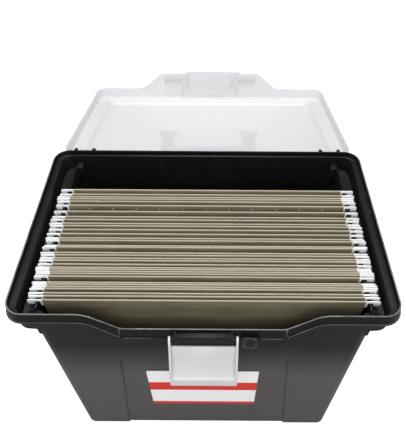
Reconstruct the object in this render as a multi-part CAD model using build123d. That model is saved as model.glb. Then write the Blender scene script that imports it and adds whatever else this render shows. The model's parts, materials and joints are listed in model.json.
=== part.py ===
from build123d import *

import math
import os

# A portable file box for letter-size hanging folders: a moulded tub with two
# file rails, a clear hinged lid with a carry handle, a flip latch and seventeen
# hanging folders, each on two thin steel rods.
# Millimetres.  X runs across the box, Y from front to back and Z up.  The
# origin is the middle of the flat bottom of the tub.

# ---- driving dimensions --------------------------------------------------
TUB_HEIGHT = 275.0
RIM_HALF_WIDTH = 178.0
RIM_HALF_DEPTH = 113.0
BODY_HALF_WIDTH = 157.3
BODY_HALF_DEPTH = 111.0
BODY_TOP = 247.0
DRAFT = 4.0
WALL = 2.5
FLOOR = 3.0

HINGE_Y = 118.5
HINGE_Z = 267.5
LID_OPEN_ANGLE = 192.9
LATCH_Y = -117.0
LATCH_Z = 240.0
LATCH_REST_ANGLE = 25.0

FOLDER_WIDTH = 298.5
FOLDER_TOP = 266.0
FOLDER_BOTTOM = 31.0

# Where the front faces of the front and the back sleeve of each folder hang.
FOLDER_PLACES = [
    (-91.4, -86.9), (-83.7, -78.8), (-76.4, -73.8), (-71.6, -64.5), (-61.2, -58.7),
    (-56.1, -53.9), (-49.9, -45.2), (-42.4, -38.4), (-35.4, -28.3), (-26.3, -19.3),
    (-16.3, -10.4), (-4.6, 0.6), (4.0, 9.5), (13.5, 21.4), (30.4, 36.6),
    (40.3, 43.3), (47.5, 54.6),
]
# How far each folder has slipped sideways on the rails, in turn.
FOLDER_SLIPS = (0.4, -0.7, 0.9, -0.2, 0.6, -0.9, 0.1)

# ---- rim of the tub ------------------------------------------------------
RIM_CORNER = 17.0
RIDGE_WIDTH = 1.8
RIDGE_HEIGHT = 5.5
LEDGE_Z = TUB_HEIGHT - RIDGE_HEIGHT
LEDGE_THICK = 2.0
PLATE_Z = LEDGE_Z - LEDGE_THICK
LIP_FLARE = 2.5
LIP_HEIGHT = 12.0
LIP_THICK = 1.8
LIP_Z = TUB_HEIGHT - LIP_HEIGHT
POCKET_HALF_WIDTH = 172.0
POCKET_CORNER = 11.0
BODY_CORNER = 10.0
BOTTOM_ROUND = 5.0

# The front of the rim dips in the middle, where the tab of the lid comes down.
DIP_DEPTH = 24.0
DIP_BOTTOM_HALF = 76.0
DIP_TOP_HALF = 106.0
DIP_TOP_ROUND = 24.0
DIP_BOTTOM_ROUND = 9.0
DIP_REACH = 132.0
DIP_LIP_HEIGHT = 14.5
LIP_STEPS = 3
STEP_LAP = 0.3
NOTCH_GAP = 1.0
NOTCH_DEPTH = 2.6

# ---- recessed panels, rails and end posts --------------------------------
PANEL_TOP = 185.0
PANEL_TOP_HALF = 87.0
PANEL_BOTTOM_HALF = 102.5
PANEL_DEPTH = 3.0
RAIL_CENTRE = 154.5
RAIL_THICK = 2.4
RAIL_TOP = 262.5
RAIL_BASE = 244.0
POST_WIDTH = 9.0
POST_FRONT = 98.5
POST_TOP = 261.0
POST_FOOT = 236.0
POST_ROUND = 3.0

# ---- hinge ---------------------------------------------------------------
HINGE_ARM_X = 146.6
HINGE_ARM_WIDTH = 16.6
HINGE_BARREL_R = 3.0
HINGE_PIN_R = 1.9
HINGE_WEB = 3.0
RUNNING = 0.05
SIDE_GAP = 0.5
LUG_THICK = 3.6
LUG_R = 4.6
LUG_FOOT = 257.0
LUG_TOP = 270.5

# ---- latch mount and padlock eyelet --------------------------------------
BLOCK_HALF = 25.2
BLOCK_FRONT = -119.4
BLOCK_TOP = 247.0
BLOCK_BOTTOM = 234.0
MOUNT_CHEEK = 2.2
LATCH_PIN_R = 2.5
LATCH_PIN_END = 32.0
LATCH_BAY_HALF = 34.2
EYELET_X = 43.3
EYELET_WIDTH = 17.0
EYELET_FRONT = -128.0
EYELET_ROOT = -114.6
EYELET_Z = 239.5
EYELET_THICK = 3.0
EYELET_HOLE_Y = -121.2
EYELET_HOLE_R = 3.4

# ---- lid, in its closed place --------------------------------------------
LID_HALF_WIDTH = 175.5
LID_HALF_DEPTH = 110.5
LID_CORNER = 14.0
LID_WALL = 2.0
LID_EDGE_Z = LEDGE_Z + 0.4
LID_TOP_Z = 284.8
LID_PLATE_Z = LID_TOP_Z - LID_WALL
BACK_EDGE_Z = 276.6
BACK_CUT_Y = 99.5
DOME_HALF_WIDTH = 160.0
DOME_HALF_DEPTH = 99.0
DOME_SLOPE = 5.0
DOME_RISE = 7.0
DOME_CORNER = 16.0
DOME_TOP_Z = LID_TOP_Z + DOME_RISE
CATCH_HALF = 28.0
CATCH_FRONT = -118.8
CATCH_THICK = 3.8
CATCH_GAP = 0.2
TAB_CLEARANCE = 1.5
TAB_EDGE_Z = LID_EDGE_Z - DIP_DEPTH
TAB_TONGUE_LEFT = -36.5
TAB_TONGUE_RIGHT = 46.8
TAB_TONGUE = 2.2
TAB_RIBS = (
    (34.3, TAB_EDGE_Z - TAB_TONGUE, 269.0),
    (42.4, 257.0, LID_PLATE_Z),
)
TAB_RIB_THICK = 1.6
TAB_RIB_RISE = 2.0
TAB_BAND_INNER = 43.0
TAB_BAND_OUTER = 71.0
TAB_BAND_TOP = 257.0
TAB_BAND_RISE = 0.8

# ---- carry handle, in its closed place on the lid ------------------------
HANDLE_HALF = 65.0
HANDLE_ARM = 17.0
HANDLE_THICK = 7.6
HANDLE_LENGTH = 70.0
GRIP_WIDTH = 21.0
HANDLE_LIFT = 0.8
HANDLE_ROUND = 2.2
HANDLE_CORNER = 12.0
HANDLE_PIN_R = 2.4
HANDLE_Z = DOME_TOP_Z + HANDLE_LIFT + HANDLE_THICK / 2
EAR_THICK = 4.0
EAR_HALF = 5.0
EAR_GAP = 0.5

# ---- latch, hanging straight up from its pivot ---------------------------
LATCH_HALF = 32.6
LATCH_CHEEK = 2.2
LATCH_PLATE = 2.0
LATCH_OFFSET = 3.5
LATCH_START = 8.2
LATCH_FOOT = 0.6
LATCH_BEND = 25.0
LATCH_CATCH = 47.0
LATCH_CATCH_REACH = 0.5
LATCH_TIP = 0.9
LATCH_END = 58.5
LATCH_END_OFFSET = 4.8
LATCH_CHEEK_EDGE = 2.5
LATCH_CHEEK_TAPER = 34.0
LATCH_EYE_R = 3.5

# ---- folders, rods and label ---------------------------------------------
PAPER = 0.35
ROD_THICK = 0.7
ROD_HEIGHT = 9.5
ROD_SLACK = 0.05
SLEEVE = 2 * PAPER + ROD_THICK + 2 * ROD_SLACK
SLEEVE_DROP = 14.0
FOLD_HALF = 1.1
ROD_END = 163.6
ROD_TIP_FOOT = 258.4
ROD_CHAMFER = 1.4
NOTCH_INNER = RAIL_CENTRE - 2.6
NOTCH_OUTER = RAIL_CENTRE + 2.6
ROD_REST_GAP = 0.2

LABEL_LEFT = -63.2
LABEL_RIGHT = 58.5
LABEL_FOOT = 61.0
LABEL_HEAD = 152.2
LABEL_THICK = 0.25
LABEL_GAP = 0.05

MID = (Align.CENTER, Align.CENTER, Align.CENTER)


def block(x0, x1, y0, y1, z0, z1):
    """A box between two corners."""
    centre = Pos((x0 + x1) / 2, (y0 + y1) / 2, (z0 + z1) / 2)
    return centre * Box(x1 - x0, y1 - y0, z1 - z0, align=MID)


def rounded_slab(half_x, half_y, corner, z0, z1, grow=0.0):
    """An upright rounded slab whose top is wider than its bottom by grow a side."""
    low = Pos(0, 0, z0) * RectangleRounded(2 * half_x, 2 * half_y, corner)
    if grow == 0.0:
        return extrude(low, z1 - z0)
    high = RectangleRounded(2 * (half_x + grow), 2 * (half_y + grow), corner + grow)
    return loft([low, Pos(0, 0, z1) * high])


def cross_bar(x0, x1, y, z, radius):
    """A round bar along X."""
    bar = Rot(0, 90, 0) * Cylinder(radius, x1 - x0, align=MID)
    return Pos((x0 + x1) / 2, y, z) * bar


def side_plate(points, x0, x1):
    """A plate whose outline in the YZ plane is given, between two places on X."""
    face = make_face(Plane.YZ * Polyline(*points, close=True))
    return Pos(x0, 0, 0) * extrude(face, x1 - x0, dir=(1, 0, 0))


def both_sides(solid):
    """A solid and its mirror image across the middle of the box."""
    return solid + mirror(solid, Plane.YZ)


def dip_line(bottom_half, top_half, high, low, reach):
    """The dipped line of the front, drawn from left to right in X and Z."""
    points = [
        (-reach, high), (-top_half, high), (-bottom_half, low),
        (bottom_half, low), (top_half, high), (reach, high),
    ]
    rounds = [DIP_TOP_ROUND, DIP_BOTTOM_ROUND, DIP_BOTTOM_ROUND, DIP_TOP_ROUND]
    return FilletPolyline(*points, radius=rounds)


def rim_line(drop):
    """The dipped line of the rim, drop below the top of the ridge."""
    high = TUB_HEIGHT - drop
    return dip_line(DIP_BOTTOM_HALF, DIP_TOP_HALF, high, high - DIP_DEPTH, DIP_REACH)


def lip_line():
    """The lower edge of the front lip, which hangs deeper in the dip."""
    low = TUB_HEIGHT - DIP_DEPTH - DIP_LIP_HEIGHT
    return dip_line(DIP_BOTTOM_HALF, DIP_TOP_HALF, LIP_Z, low, DIP_REACH)


def front_sheet(upper, lower, y0, y1):
    """Material between two lines in X and Z, from y0 back to y1."""
    ends = [Line(upper @ 0, lower @ 0), Line(upper @ 1, lower @ 1)]
    face = make_face(Curve() + [upper, lower] + ends)
    plane = Plane(origin=(0, y1, 0), x_dir=(1, 0, 0), z_dir=(0, -1, 0))
    return extrude(plane * face, y1 - y0)


def panel_block(grow, outer, inner):
    """A trapezoid block in the drafted front wall, between two depths."""
    tilt = math.degrees(math.atan(DRAFT / BODY_TOP))
    foot = -BOTTOM_ROUND * 2
    outline = Polyline(
        (-PANEL_BOTTOM_HALF - grow, foot), (PANEL_BOTTOM_HALF + grow, foot),
        (PANEL_TOP_HALF + grow, PANEL_TOP + grow), (-PANEL_TOP_HALF - grow, PANEL_TOP + grow),
        close=True,
    )
    slab = extrude(make_face(outline), outer - inner)
    stood = Rot(90, 0, 0) * (Pos(0, 0, inner) * slab)
    return Pos(0, -(BODY_HALF_DEPTH - DRAFT), 0) * (Rot(tilt, 0, 0) * stood)


def make_body():
    """The drafted body with its floor and its two recessed panels."""
    foot_x = BODY_HALF_WIDTH - DRAFT
    foot_y = BODY_HALF_DEPTH - DRAFT
    outer = rounded_slab(foot_x, foot_y, BODY_CORNER - DRAFT, 0, BODY_TOP, DRAFT)
    outer = fillet(outer.faces().sort_by(Axis.Z)[0].edges(), BOTTOM_ROUND)
    hollow = rounded_slab(
        foot_x - WALL, foot_y - WALL, BODY_CORNER - DRAFT - WALL, 0, BODY_TOP, DRAFT
    )
    hollow -= block(-foot_x, foot_x, -foot_y, foot_y, 0, FLOOR)
    backing = panel_block(WALL, 0, -PANEL_DEPTH - WALL)
    recess = panel_block(0, PANEL_DEPTH, -PANEL_DEPTH)
    body = outer - hollow
    for turn in (0, 180):
        body = body + ((Rot(0, 0, turn) * backing) & outer) - Rot(0, 0, turn) * recess
    return body


def make_pocket():
    """The wider top of the tub, with the channels that the rod ends hang in."""
    outer = rounded_slab(POCKET_HALF_WIDTH, BODY_HALF_DEPTH, POCKET_CORNER, BODY_TOP, PLATE_Z)
    hollow = rounded_slab(
        POCKET_HALF_WIDTH - WALL, BODY_HALF_DEPTH - WALL, POCKET_CORNER - WALL,
        BODY_TOP + WALL, PLATE_Z,
    )
    mouth = rounded_slab(
        BODY_HALF_WIDTH - WALL, BODY_HALF_DEPTH - WALL, BODY_CORNER - WALL,
        BODY_TOP, BODY_TOP + WALL,
    )
    return outer - hollow - mouth


def lip_solid(inset):
    """The flared lip as a solid, its faces drawn in by inset."""
    low = Pos(0, 0, LIP_Z) * RectangleRounded(
        2 * (RIM_HALF_WIDTH + LIP_FLARE - inset), 2 * (RIM_HALF_DEPTH + LIP_FLARE - inset),
        RIM_CORNER + LIP_FLARE - inset,
    )
    high = Pos(0, 0, TUB_HEIGHT) * RectangleRounded(
        2 * (RIM_HALF_WIDTH - inset), 2 * (RIM_HALF_DEPTH - inset), RIM_CORNER - inset
    )
    return loft([low, high])


def make_rim():
    """Ledge, ridge and flared lip, left open where the front dips."""
    opening = rounded_slab(
        POCKET_HALF_WIDTH - WALL, BODY_HALF_DEPTH - WALL, POCKET_CORNER - WALL, PLATE_Z, TUB_HEIGHT
    )
    plate = rounded_slab(RIM_HALF_WIDTH, RIM_HALF_DEPTH, RIM_CORNER, PLATE_Z, LEDGE_Z)
    ridge = rounded_slab(RIM_HALF_WIDTH, RIM_HALF_DEPTH, RIM_CORNER, LEDGE_Z, TUB_HEIGHT)
    ridge -= rounded_slab(
        RIM_HALF_WIDTH - RIDGE_WIDTH, RIM_HALF_DEPTH - RIDGE_WIDTH, RIM_CORNER - RIDGE_WIDTH,
        LEDGE_Z, TUB_HEIGHT,
    )
    rim = (plate - opening) + ridge + (lip_solid(0) - lip_solid(LIP_THICK))
    gap_front = -RIM_HALF_DEPTH - 2 * LIP_FLARE
    gap_back = -BODY_HALF_DEPTH + WALL
    return rim - block(-DIP_REACH, DIP_REACH, gap_front, gap_back, LIP_Z, TUB_HEIGHT)


def make_front_rim():
    """The dipped stretch of ridge, ledge and lip."""
    front = -RIM_HALF_DEPTH
    under = rim_line(RIDGE_HEIGHT + LEDGE_THICK)
    rim = front_sheet(rim_line(0), under, front, front + RIDGE_WIDTH)
    rim += front_sheet(rim_line(RIDGE_HEIGHT), under, front, -BODY_HALF_DEPTH + WALL)
    run = LIP_FLARE / LIP_STEPS
    for step in range(LIP_STEPS):
        fall = (step + 1) * LIP_HEIGHT / (LIP_STEPS + 1)
        near = front - step * run
        rim += front_sheet(rim_line(fall), lip_line(), near - run, near + STEP_LAP)
    return rim


def front_opening():
    """What the dip takes out of the front wall, down to the middle of the ledge."""
    lower = rim_line(RIDGE_HEIGHT + LEDGE_THICK / 2)
    top = Line((-DIP_REACH, TUB_HEIGHT), (DIP_REACH, TUB_HEIGHT))
    back = -BODY_HALF_DEPTH + 2 * WALL
    return front_sheet(top, lower, -BODY_HALF_DEPTH - WALL, back)


def make_rail(side):
    """A file rail with a post at each end, on one side of the box."""
    centre = side * RAIL_CENTRE
    half = RAIL_THICK / 2
    inner_y = BODY_HALF_DEPTH - WALL / 2
    rail = block(centre - half, centre + half, -POST_FRONT, POST_FRONT, RAIL_BASE, RAIL_TOP)
    outer_x = side * (RAIL_CENTRE + half)
    inner_x = side * (RAIL_CENTRE + half - POST_WIDTH)
    low_x, high_x = min(outer_x, inner_x), max(outer_x, inner_x)
    for end in (-1, 1):
        low_y, high_y = sorted((end * POST_FRONT, end * inner_y))
        post = block(low_x, high_x, low_y, high_y, POST_FOOT, POST_TOP)
        rail += fillet(post.faces().sort_by(Axis.Z)[-1].edges(), POST_ROUND)
    return rail


def make_lugs():
    """Two pairs of bored hinge lugs on the back of the tub."""
    root = BODY_HALF_DEPTH - WALL / 2
    lugs = []
    for side in (-1, 1):
        for hand in (-1, 1):
            inner = hand * (HINGE_ARM_WIDTH / 2 + SIDE_GAP)
            outer = inner + hand * LUG_THICK
            x0, x1 = sorted((side * HINGE_ARM_X + inner, side * HINGE_ARM_X + outer))
            web = [
                (root, LUG_FOOT), (HINGE_Y, HINGE_Z - LUG_R), (HINGE_Y, HINGE_Z + LUG_R / 2),
                (RIM_HALF_DEPTH, LUG_TOP), (root, LUG_TOP),
            ]
            lug = side_plate(web, x0, x1) + cross_bar(x0, x1, HINGE_Y, HINGE_Z, LUG_R)
            lug -= block(x0, x1, 0, RIM_HALF_DEPTH - RIDGE_WIDTH, LEDGE_Z, TUB_HEIGHT)
            lugs.append(lug)
    return lugs


def make_latch_mount():
    """The block and cheeks that carry the latch, with its two pivot pins."""
    back = -BODY_HALF_DEPTH + WALL / 2
    mount = block(-BLOCK_HALF, BLOCK_HALF, BLOCK_FRONT, back, BLOCK_BOTTOM, BLOCK_TOP)
    for side in (-1, 1):
        x0, x1 = sorted((side * BLOCK_HALF, side * (BLOCK_HALF + MOUNT_CHEEK)))
        cheek = [
            (back, BLOCK_BOTTOM - 3), (BLOCK_FRONT, BLOCK_BOTTOM), (BLOCK_FRONT, BLOCK_TOP - 2),
            (-RIM_HALF_DEPTH, BLOCK_TOP + 2), (back, BLOCK_TOP - 4),
        ]
        mount += side_plate(cheek, x0, x1)
        x0, x1 = sorted((side * BLOCK_HALF, side * LATCH_PIN_END))
        mount += cross_bar(x0, x1, LATCH_Y, LATCH_Z, LATCH_PIN_R)
    return mount


def make_eyelet():
    """The padlock eyelet that stands out of the front lip."""
    x0 = EYELET_X - EYELET_WIDTH / 2
    x1 = EYELET_X + EYELET_WIDTH / 2
    plate = block(x0, x1, EYELET_FRONT, EYELET_ROOT, EYELET_Z, EYELET_Z + EYELET_THICK)
    front_corners = plate.edges().filter_by(Axis.Z).sort_by(Axis.Y)[:2]
    plate = fillet(front_corners, EYELET_WIDTH / 3)
    hole = Pos(EYELET_X, EYELET_HOLE_Y, EYELET_Z) * Cylinder(EYELET_HOLE_R, 4 * EYELET_THICK)
    return plate - hole


def make_tub():
    """The whole moulded tub."""
    tub = make_body() + make_pocket() - front_opening() + make_rim() + make_front_rim()
    bay_low = TUB_HEIGHT - DIP_DEPTH - 2 * DIP_LIP_HEIGHT
    lip_front = -RIM_HALF_DEPTH - 2 * LIP_FLARE
    tub -= block(
        -LATCH_BAY_HALF, LATCH_BAY_HALF, lip_front, -RIM_HALF_DEPTH, bay_low, TUB_HEIGHT
    )
    arm_half = HINGE_ARM_WIDTH / 2 + SIDE_GAP
    for side in (-1, 1):
        tub += make_rail(side)
        middle = side * HINGE_ARM_X
        tub -= block(
            middle - arm_half, middle + arm_half, RIM_HALF_DEPTH, RIM_HALF_DEPTH + 2 * LIP_FLARE,
            LIP_Z, TUB_HEIGHT,
        )
    for lug in make_lugs():
        tub += lug
    bore_reach = RIM_HALF_WIDTH - LIP_FLARE
    tub -= cross_bar(-bore_reach, bore_reach, HINGE_Y, HINGE_Z, HINGE_PIN_R + RUNNING)
    tub += make_latch_mount()
    notch_low = LEDGE_Z - DIP_DEPTH - NOTCH_DEPTH
    tub -= block(
        TAB_TONGUE_LEFT - NOTCH_GAP, TAB_TONGUE_RIGHT + NOTCH_GAP,
        -RIM_HALF_DEPTH + RIDGE_WIDTH, -BODY_HALF_DEPTH + 2 * WALL,
        notch_low, notch_low + 2 * NOTCH_DEPTH,
    )
    return tub + make_eyelet()


def lid_tray():
    """Skirt, flange plate and raised dome of the lid."""
    tray = rounded_slab(LID_HALF_WIDTH, LID_HALF_DEPTH, LID_CORNER, LID_EDGE_Z, LID_TOP_Z)
    tray -= rounded_slab(
        LID_HALF_WIDTH - LID_WALL, LID_HALF_DEPTH - LID_WALL, LID_CORNER - LID_WALL,
        LID_EDGE_Z, LID_PLATE_Z,
    )
    dome = rounded_slab(
        DOME_HALF_WIDTH, DOME_HALF_DEPTH, DOME_CORNER, LID_TOP_Z, DOME_TOP_Z, -DOME_SLOPE
    )
    hollow = rounded_slab(
        DOME_HALF_WIDTH - LID_WALL, DOME_HALF_DEPTH - LID_WALL, DOME_CORNER - LID_WALL,
        LID_PLATE_Z, DOME_TOP_Z - LID_WALL, -DOME_SLOPE,
    )
    tray = tray + dome - hollow
    return tray - block(
        -LID_HALF_WIDTH, LID_HALF_WIDTH, BACK_CUT_Y, LID_HALF_DEPTH, LID_EDGE_Z, BACK_EDGE_Z
    )


def lid_tab():
    """The front tab of the lid, with its tongue and channel ribs."""
    front = -LID_HALF_DEPTH
    back = front + LID_WALL
    reach = DIP_TOP_HALF + DIP_TOP_ROUND / 2
    high = Line((-reach, LID_PLATE_Z), (reach, LID_PLATE_Z))
    low = dip_line(
        DIP_BOTTOM_HALF - TAB_CLEARANCE, DIP_TOP_HALF - TAB_CLEARANCE, LID_EDGE_Z, TAB_EDGE_Z, reach
    )
    tab = front_sheet(high, low, front, back)
    tab += block(
        TAB_TONGUE_LEFT, TAB_TONGUE_RIGHT, front, back, TAB_EDGE_Z - TAB_TONGUE, LID_EDGE_Z
    )
    for place, low, high in TAB_RIBS:
        x0 = place - TAB_RIB_THICK / 2
        rib = block(x0, x0 + TAB_RIB_THICK, back, back + TAB_RIB_RISE, low, high)
        tab += both_sides(rib)
    band = block(
        TAB_BAND_INNER, TAB_BAND_OUTER, back, back + TAB_BAND_RISE, TAB_EDGE_Z, TAB_BAND_TOP
    )
    catch_top = LATCH_Z + LATCH_CATCH - CATCH_GAP
    catch = block(-CATCH_HALF, CATCH_HALF, CATCH_FRONT, back, catch_top - CATCH_THICK, catch_top)
    return tab + both_sides(band) + catch


def lid_arms():
    """The two hinge arms that reach over the back ridge, with their pins."""
    web_front = HINGE_Y - HINGE_WEB / 2
    web_back = HINGE_Y + HINGE_WEB / 2
    web_top = BACK_EDGE_Z + HINGE_WEB
    root = LID_HALF_DEPTH - LID_WALL / 2
    outline = [
        (root, BACK_EDGE_Z), (web_front, BACK_EDGE_Z), (web_front, HINGE_Z), (web_back, HINGE_Z),
        (web_back, web_top - HINGE_WEB / 2), (web_back - HINGE_WEB / 2, web_top), (root, web_top),
    ]
    x0 = HINGE_ARM_X - HINGE_ARM_WIDTH / 2
    x1 = HINGE_ARM_X + HINGE_ARM_WIDTH / 2
    arm = side_plate(outline, x0, x1) + cross_bar(x0, x1, HINGE_Y, HINGE_Z, HINGE_BARREL_R)
    pin_reach = SIDE_GAP + LUG_THICK
    arm += cross_bar(x0 - pin_reach, x1 + pin_reach, HINGE_Y, HINGE_Z, HINGE_PIN_R)
    return both_sides(arm)


def lid_ears():
    """Bored ears on the dome that the arms of the handle swing between."""
    inner_face = HANDLE_HALF - HANDLE_ARM - EAR_GAP
    outer_face = HANDLE_HALF + EAR_GAP
    ears = None
    for x0, x1 in ((inner_face - EAR_THICK, inner_face), (outer_face, outer_face + EAR_THICK)):
        ear = block(x0, x1, -EAR_HALF, EAR_HALF, DOME_TOP_Z - LID_WALL / 2, HANDLE_Z)
        ear += cross_bar(x0, x1, 0, HANDLE_Z, EAR_HALF)
        ears = ear if ears is None else ears + ear
    bore = cross_bar(-2 * HANDLE_HALF, 2 * HANDLE_HALF, 0, HANDLE_Z, HANDLE_PIN_R + RUNNING)
    return both_sides(ears) - bore


def open_lid(solid):
    """Swing a solid of the lid from its closed place to its open place."""
    turn = Pos(0, HINGE_Y, HINGE_Z) * Rot(-LID_OPEN_ANGLE, 0, 0) * Pos(0, -HINGE_Y, -HINGE_Z)
    return turn * solid


def make_lid():
    """The clear lid, in its open place."""
    return open_lid(lid_tray() + lid_tab() + lid_arms() + lid_ears())


def make_handle():
    """The U-shaped carry handle, folded against the open lid."""
    half = HANDLE_THICK / 2
    eye = half - HANDLE_ROUND / 2
    slab = Pos(0, (HANDLE_LENGTH - half) / 2, HANDLE_Z) * Box(
        2 * HANDLE_HALF, HANDLE_LENGTH + half, HANDLE_THICK, align=MID
    )
    far_corners = slab.edges().filter_by(Axis.Z).sort_by(Axis.Y)[-2:]
    slab = fillet(far_corners, HANDLE_CORNER)
    gap_half = HANDLE_HALF - HANDLE_ARM
    handle = slab - block(
        -gap_half, gap_half, -HANDLE_THICK, HANDLE_LENGTH - GRIP_WIDTH,
        HANDLE_Z - HANDLE_THICK, HANDLE_Z + HANDLE_THICK,
    )
    pivot_edges = handle.edges().filter_by(Axis.X).sort_by(Axis.Y)[:4]
    handle = fillet(pivot_edges, eye)
    grip_edges = handle.edges().filter_by(Axis.X).filter_by_position(
        Axis.Y, HANDLE_LENGTH - GRIP_WIDTH - 1, HANDLE_LENGTH - GRIP_WIDTH + 1
    )
    handle = fillet(grip_edges, HANDLE_ROUND)
    pin_reach = EAR_GAP + EAR_THICK
    pin = cross_bar(gap_half - pin_reach, HANDLE_HALF + pin_reach, 0, HANDLE_Z, HANDLE_PIN_R)
    return open_lid(handle + both_sides(pin))


def make_latch():
    """The flip latch, hanging open below its pivot."""
    back = -LATCH_OFFSET - LATCH_PLATE
    foot_back = -LATCH_FOOT - LATCH_PLATE
    profile = [
        (foot_back, LATCH_START), (-LATCH_FOOT, LATCH_START), (-LATCH_OFFSET, LATCH_BEND),
        (-LATCH_OFFSET, LATCH_CATCH), (-LATCH_CATCH_REACH, LATCH_CATCH),
        (-LATCH_CATCH_REACH, LATCH_CATCH + LATCH_TIP), (-LATCH_END_OFFSET, LATCH_END),
        (back, LATCH_END), (back, LATCH_BEND),
    ]
    latch = side_plate(profile, -LATCH_HALF, LATCH_HALF)
    cheek = [
        (foot_back, LATCH_START), (back, LATCH_BEND), (back, LATCH_CATCH),
        (-LATCH_CATCH_REACH, LATCH_CATCH), (LATCH_CHEEK_EDGE, LATCH_CHEEK_TAPER),
        (LATCH_CHEEK_EDGE, LATCH_START), (LATCH_EYE_R, 0), (-LATCH_EYE_R, 0),
    ]
    x0 = LATCH_HALF - LATCH_CHEEK
    arm = side_plate(cheek, x0, LATCH_HALF) + cross_bar(x0, LATCH_HALF, 0, 0, LATCH_EYE_R)
    latch += both_sides(arm)
    latch -= cross_bar(-LATCH_HALF, LATCH_HALF, 0, 0, LATCH_PIN_R + RUNNING)
    return Pos(0, LATCH_Y, LATCH_Z) * Rot(180 - LATCH_REST_ANGLE, 0, 0) * latch


def make_label():
    """The paper label on the front panel, laid along the draft of the wall."""
    tilt = math.degrees(math.atan(DRAFT / BODY_TOP))
    plate = block(
        LABEL_LEFT, LABEL_RIGHT, PANEL_DEPTH - LABEL_GAP - LABEL_THICK, PANEL_DEPTH - LABEL_GAP,
        LABEL_FOOT, LABEL_HEAD,
    )
    return Pos(0, -(BODY_HALF_DEPTH - DRAFT), 0) * (Rot(tilt, 0, 0) * plate)


def make_folder(front, back, slip):
    """One hanging folder: a folded sheet with a sleeve for a rod along each top edge."""
    middle = (front + back + SLEEVE) / 2
    far = back + SLEEVE
    neck = FOLDER_TOP - SLEEVE_DROP
    fold_top = FOLDER_BOTTOM + PAPER
    outline = [
        (front, neck), (front, FOLDER_TOP), (front + SLEEVE, FOLDER_TOP), (front + SLEEVE, neck),
        (front + PAPER, neck - SLEEVE), (middle - FOLD_HALF + PAPER, fold_top),
        (middle + FOLD_HALF - PAPER, fold_top), (far - PAPER, neck - SLEEVE), (back, neck),
        (back, FOLDER_TOP), (far, FOLDER_TOP), (far, neck),
        (middle + FOLD_HALF, FOLDER_BOTTOM), (middle - FOLD_HALF, FOLDER_BOTTOM),
    ]
    half = FOLDER_WIDTH / 2
    sheet = side_plate(outline, slip - half, slip + half)
    slot_top = FOLDER_TOP - PAPER
    for face in (front, back):
        sheet -= block(
            slip - half, slip + half, face + PAPER, face + SLEEVE - PAPER,
            slot_top - ROD_HEIGHT - 2 * ROD_SLACK, slot_top,
        )
    return sheet


def make_rod(face, slip):
    """A flat steel rod with a notch at each end that sits on the rail."""
    top = FOLDER_TOP - PAPER - ROD_SLACK
    foot = top - ROD_HEIGHT
    notch_top = RAIL_TOP + ROD_REST_GAP
    half = [
        (NOTCH_INNER, foot), (NOTCH_INNER, notch_top), (NOTCH_OUTER, notch_top),
        (NOTCH_OUTER, ROD_TIP_FOOT), (ROD_END, ROD_TIP_FOOT), (ROD_END, top - ROD_CHAMFER),
        (ROD_END - ROD_CHAMFER, top),
    ]
    other = [(-x, z) for x, z in reversed(half)]
    outline = Polyline(*half, *other, close=True)
    y0 = face + PAPER + ROD_SLACK
    plane = Plane(origin=(slip, y0 + ROD_THICK, 0), x_dir=(1, 0, 0), z_dir=(0, -1, 0))
    return extrude(plane * make_face(outline), ROD_THICK)


def save(name, shape):
    """Write one node."""
    shape.label = name
    export_step(shape, f"parts/{name}.step")


def main():
    os.makedirs("parts", exist_ok=True)
    save("tub", make_tub())
    save("lid", make_lid())
    save("carry_handle", make_handle())
    save("latch", make_latch())
    save("label", make_label())
    for index, (front, back) in enumerate(FOLDER_PLACES):
        slip = FOLDER_SLIPS[index % len(FOLDER_SLIPS)]
        number = f"{index + 1:02d}"
        save(f"hanging_folder_{number}", make_folder(front, back, slip))
        rods = Compound(children=[make_rod(front, slip), make_rod(back, slip)])
        save(f"folder_rods_{number}", rods)


main()
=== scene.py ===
# %% [markdown]
# # A portable file box, modelled as a lesson
# The box has a black moulded tub, a clear hinged lid, a grey latch and handle, and seventeen hanging
# folders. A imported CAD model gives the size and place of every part. This script loads it as a frame
# and models the finish of each part in Blender, in the same place, in metres.

# %% Load the frame
import json
import math

import bmesh
import bpy
from mathutils import Matrix, Vector

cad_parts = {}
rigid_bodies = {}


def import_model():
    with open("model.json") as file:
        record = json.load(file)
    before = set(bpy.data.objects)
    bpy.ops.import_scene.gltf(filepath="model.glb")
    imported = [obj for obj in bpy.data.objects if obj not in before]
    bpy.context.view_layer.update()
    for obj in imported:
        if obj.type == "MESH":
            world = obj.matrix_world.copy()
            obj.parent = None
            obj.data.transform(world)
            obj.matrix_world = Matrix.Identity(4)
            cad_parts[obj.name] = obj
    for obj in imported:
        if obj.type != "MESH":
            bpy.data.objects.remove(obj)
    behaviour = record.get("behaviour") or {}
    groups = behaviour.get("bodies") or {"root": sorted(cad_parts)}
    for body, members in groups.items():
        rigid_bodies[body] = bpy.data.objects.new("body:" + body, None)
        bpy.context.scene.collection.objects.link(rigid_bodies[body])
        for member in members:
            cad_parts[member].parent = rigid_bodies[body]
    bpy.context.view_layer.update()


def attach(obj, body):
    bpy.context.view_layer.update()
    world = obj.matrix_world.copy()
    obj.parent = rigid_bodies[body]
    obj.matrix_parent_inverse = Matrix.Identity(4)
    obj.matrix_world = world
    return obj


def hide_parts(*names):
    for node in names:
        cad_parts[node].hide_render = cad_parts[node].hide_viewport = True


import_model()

MM = 0.001
HINGE_Y = 118.5
HINGE_Z = 267.5
LID_OPEN_ANGLE = 192.9

# %% [markdown]
# ## Camera
# The box is seen from above its front, looking down by about 49 degrees. A camera looks along its own
# -Z, so a turn about X tips it up from straight down. The lens shift keeps the box low in the frame
# without tipping the camera, which would make its upright edges run together differently.

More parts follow.
